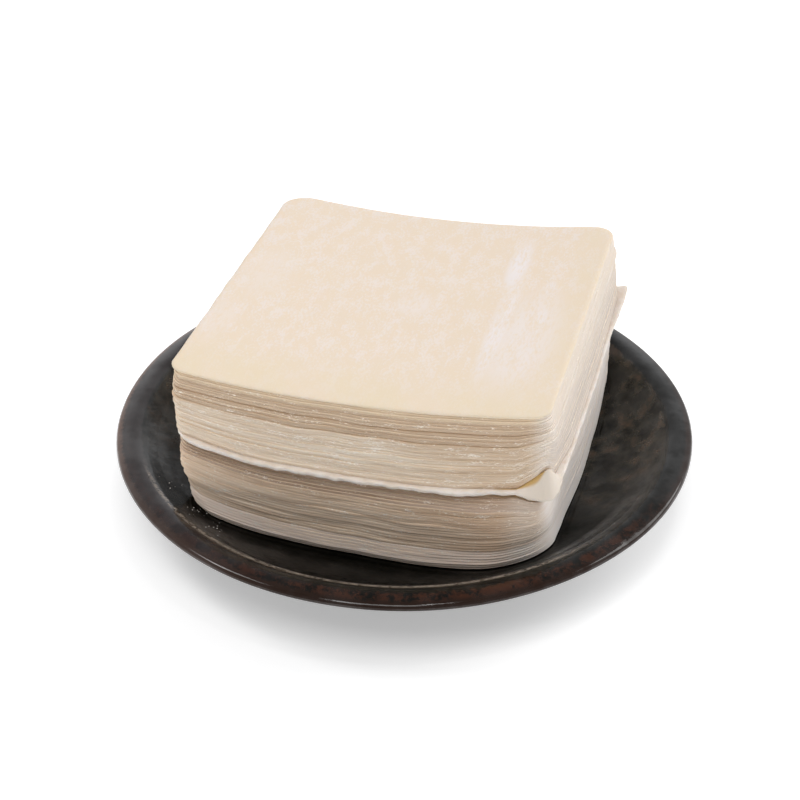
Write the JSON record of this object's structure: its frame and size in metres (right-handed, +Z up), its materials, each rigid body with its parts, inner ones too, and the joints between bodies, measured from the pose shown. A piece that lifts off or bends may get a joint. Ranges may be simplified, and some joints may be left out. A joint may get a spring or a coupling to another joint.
{
  "type": "stack of wonton wrappers on a plate",
  "caption": "Square floured wonton wrappers stacked in two sagging bundles on a small dark glazed plate, with one larger sheet standing out between them.",
  "frame": {"origin": "On the table, under the middle of the plate, at the centre of its foot ring.", "axes": "+Z up, +X along the front edge of the stack to its right end, +Y from the front of the stack to its back."},
  "size_m": [0.147, 0.147, 0.0581],
  "materials": {
    "dough": "matte",
    "glaze": "gloss"
  },
  "bodies": {
    "root": {"plate": "glaze", "wrapper_01": "dough", "wrapper_02": "dough", "wrapper_03": "dough", "wrapper_04": "dough", "wrapper_05": "dough", "wrapper_06": "dough", "wrapper_07": "dough", "wrapper_08": "dough", "wrapper_09": "dough", "wrapper_10": "dough", "wrapper_11": "dough", "wrapper_12": "dough", "wrapper_13": "dough", "wrapper_14": "dough", "wrapper_15": "dough", "wrapper_16": "dough", "wrapper_17": "dough", "wrapper_18": "dough", "wrapper_19": "dough", "wrapper_20": "dough", "wrapper_21": "dough", "wrapper_22": "dough", "wrapper_23": "dough", "wrapper_24": "dough", "wrapper_25": "dough", "wrapper_26": "dough", "wrapper_27": "dough", "wrapper_28": "dough", "wrapper_29": "dough", "wrapper_30": "dough", "wrapper_31": "dough", "wrapper_32": "dough", "wrapper_33": "dough", "wrapper_34": "dough", "wrapper_35": "dough", "wrapper_36": "dough", "wrapper_37": "dough", "wrapper_38": "dough", "wrapper_39": "dough", "wrapper_40": "dough", "wrapper_41": "dough", "wrapper_42": "dough", "wrapper_43": "dough", "wrapper_44": "dough", "wrapper_45": "dough", "wrapper_46": "dough", "wrapper_47": "dough", "wrapper_48": "dough", "wrapper_49": "dough", "wrapper_50": "dough", "wrapper_51": "dough", "wrapper_52": "dough", "wrapper_53": "dough", "wrapper_54": "dough", "wrapper_55": "dough", "wrapper_56": "dough"}
  },
  "joints": []
}
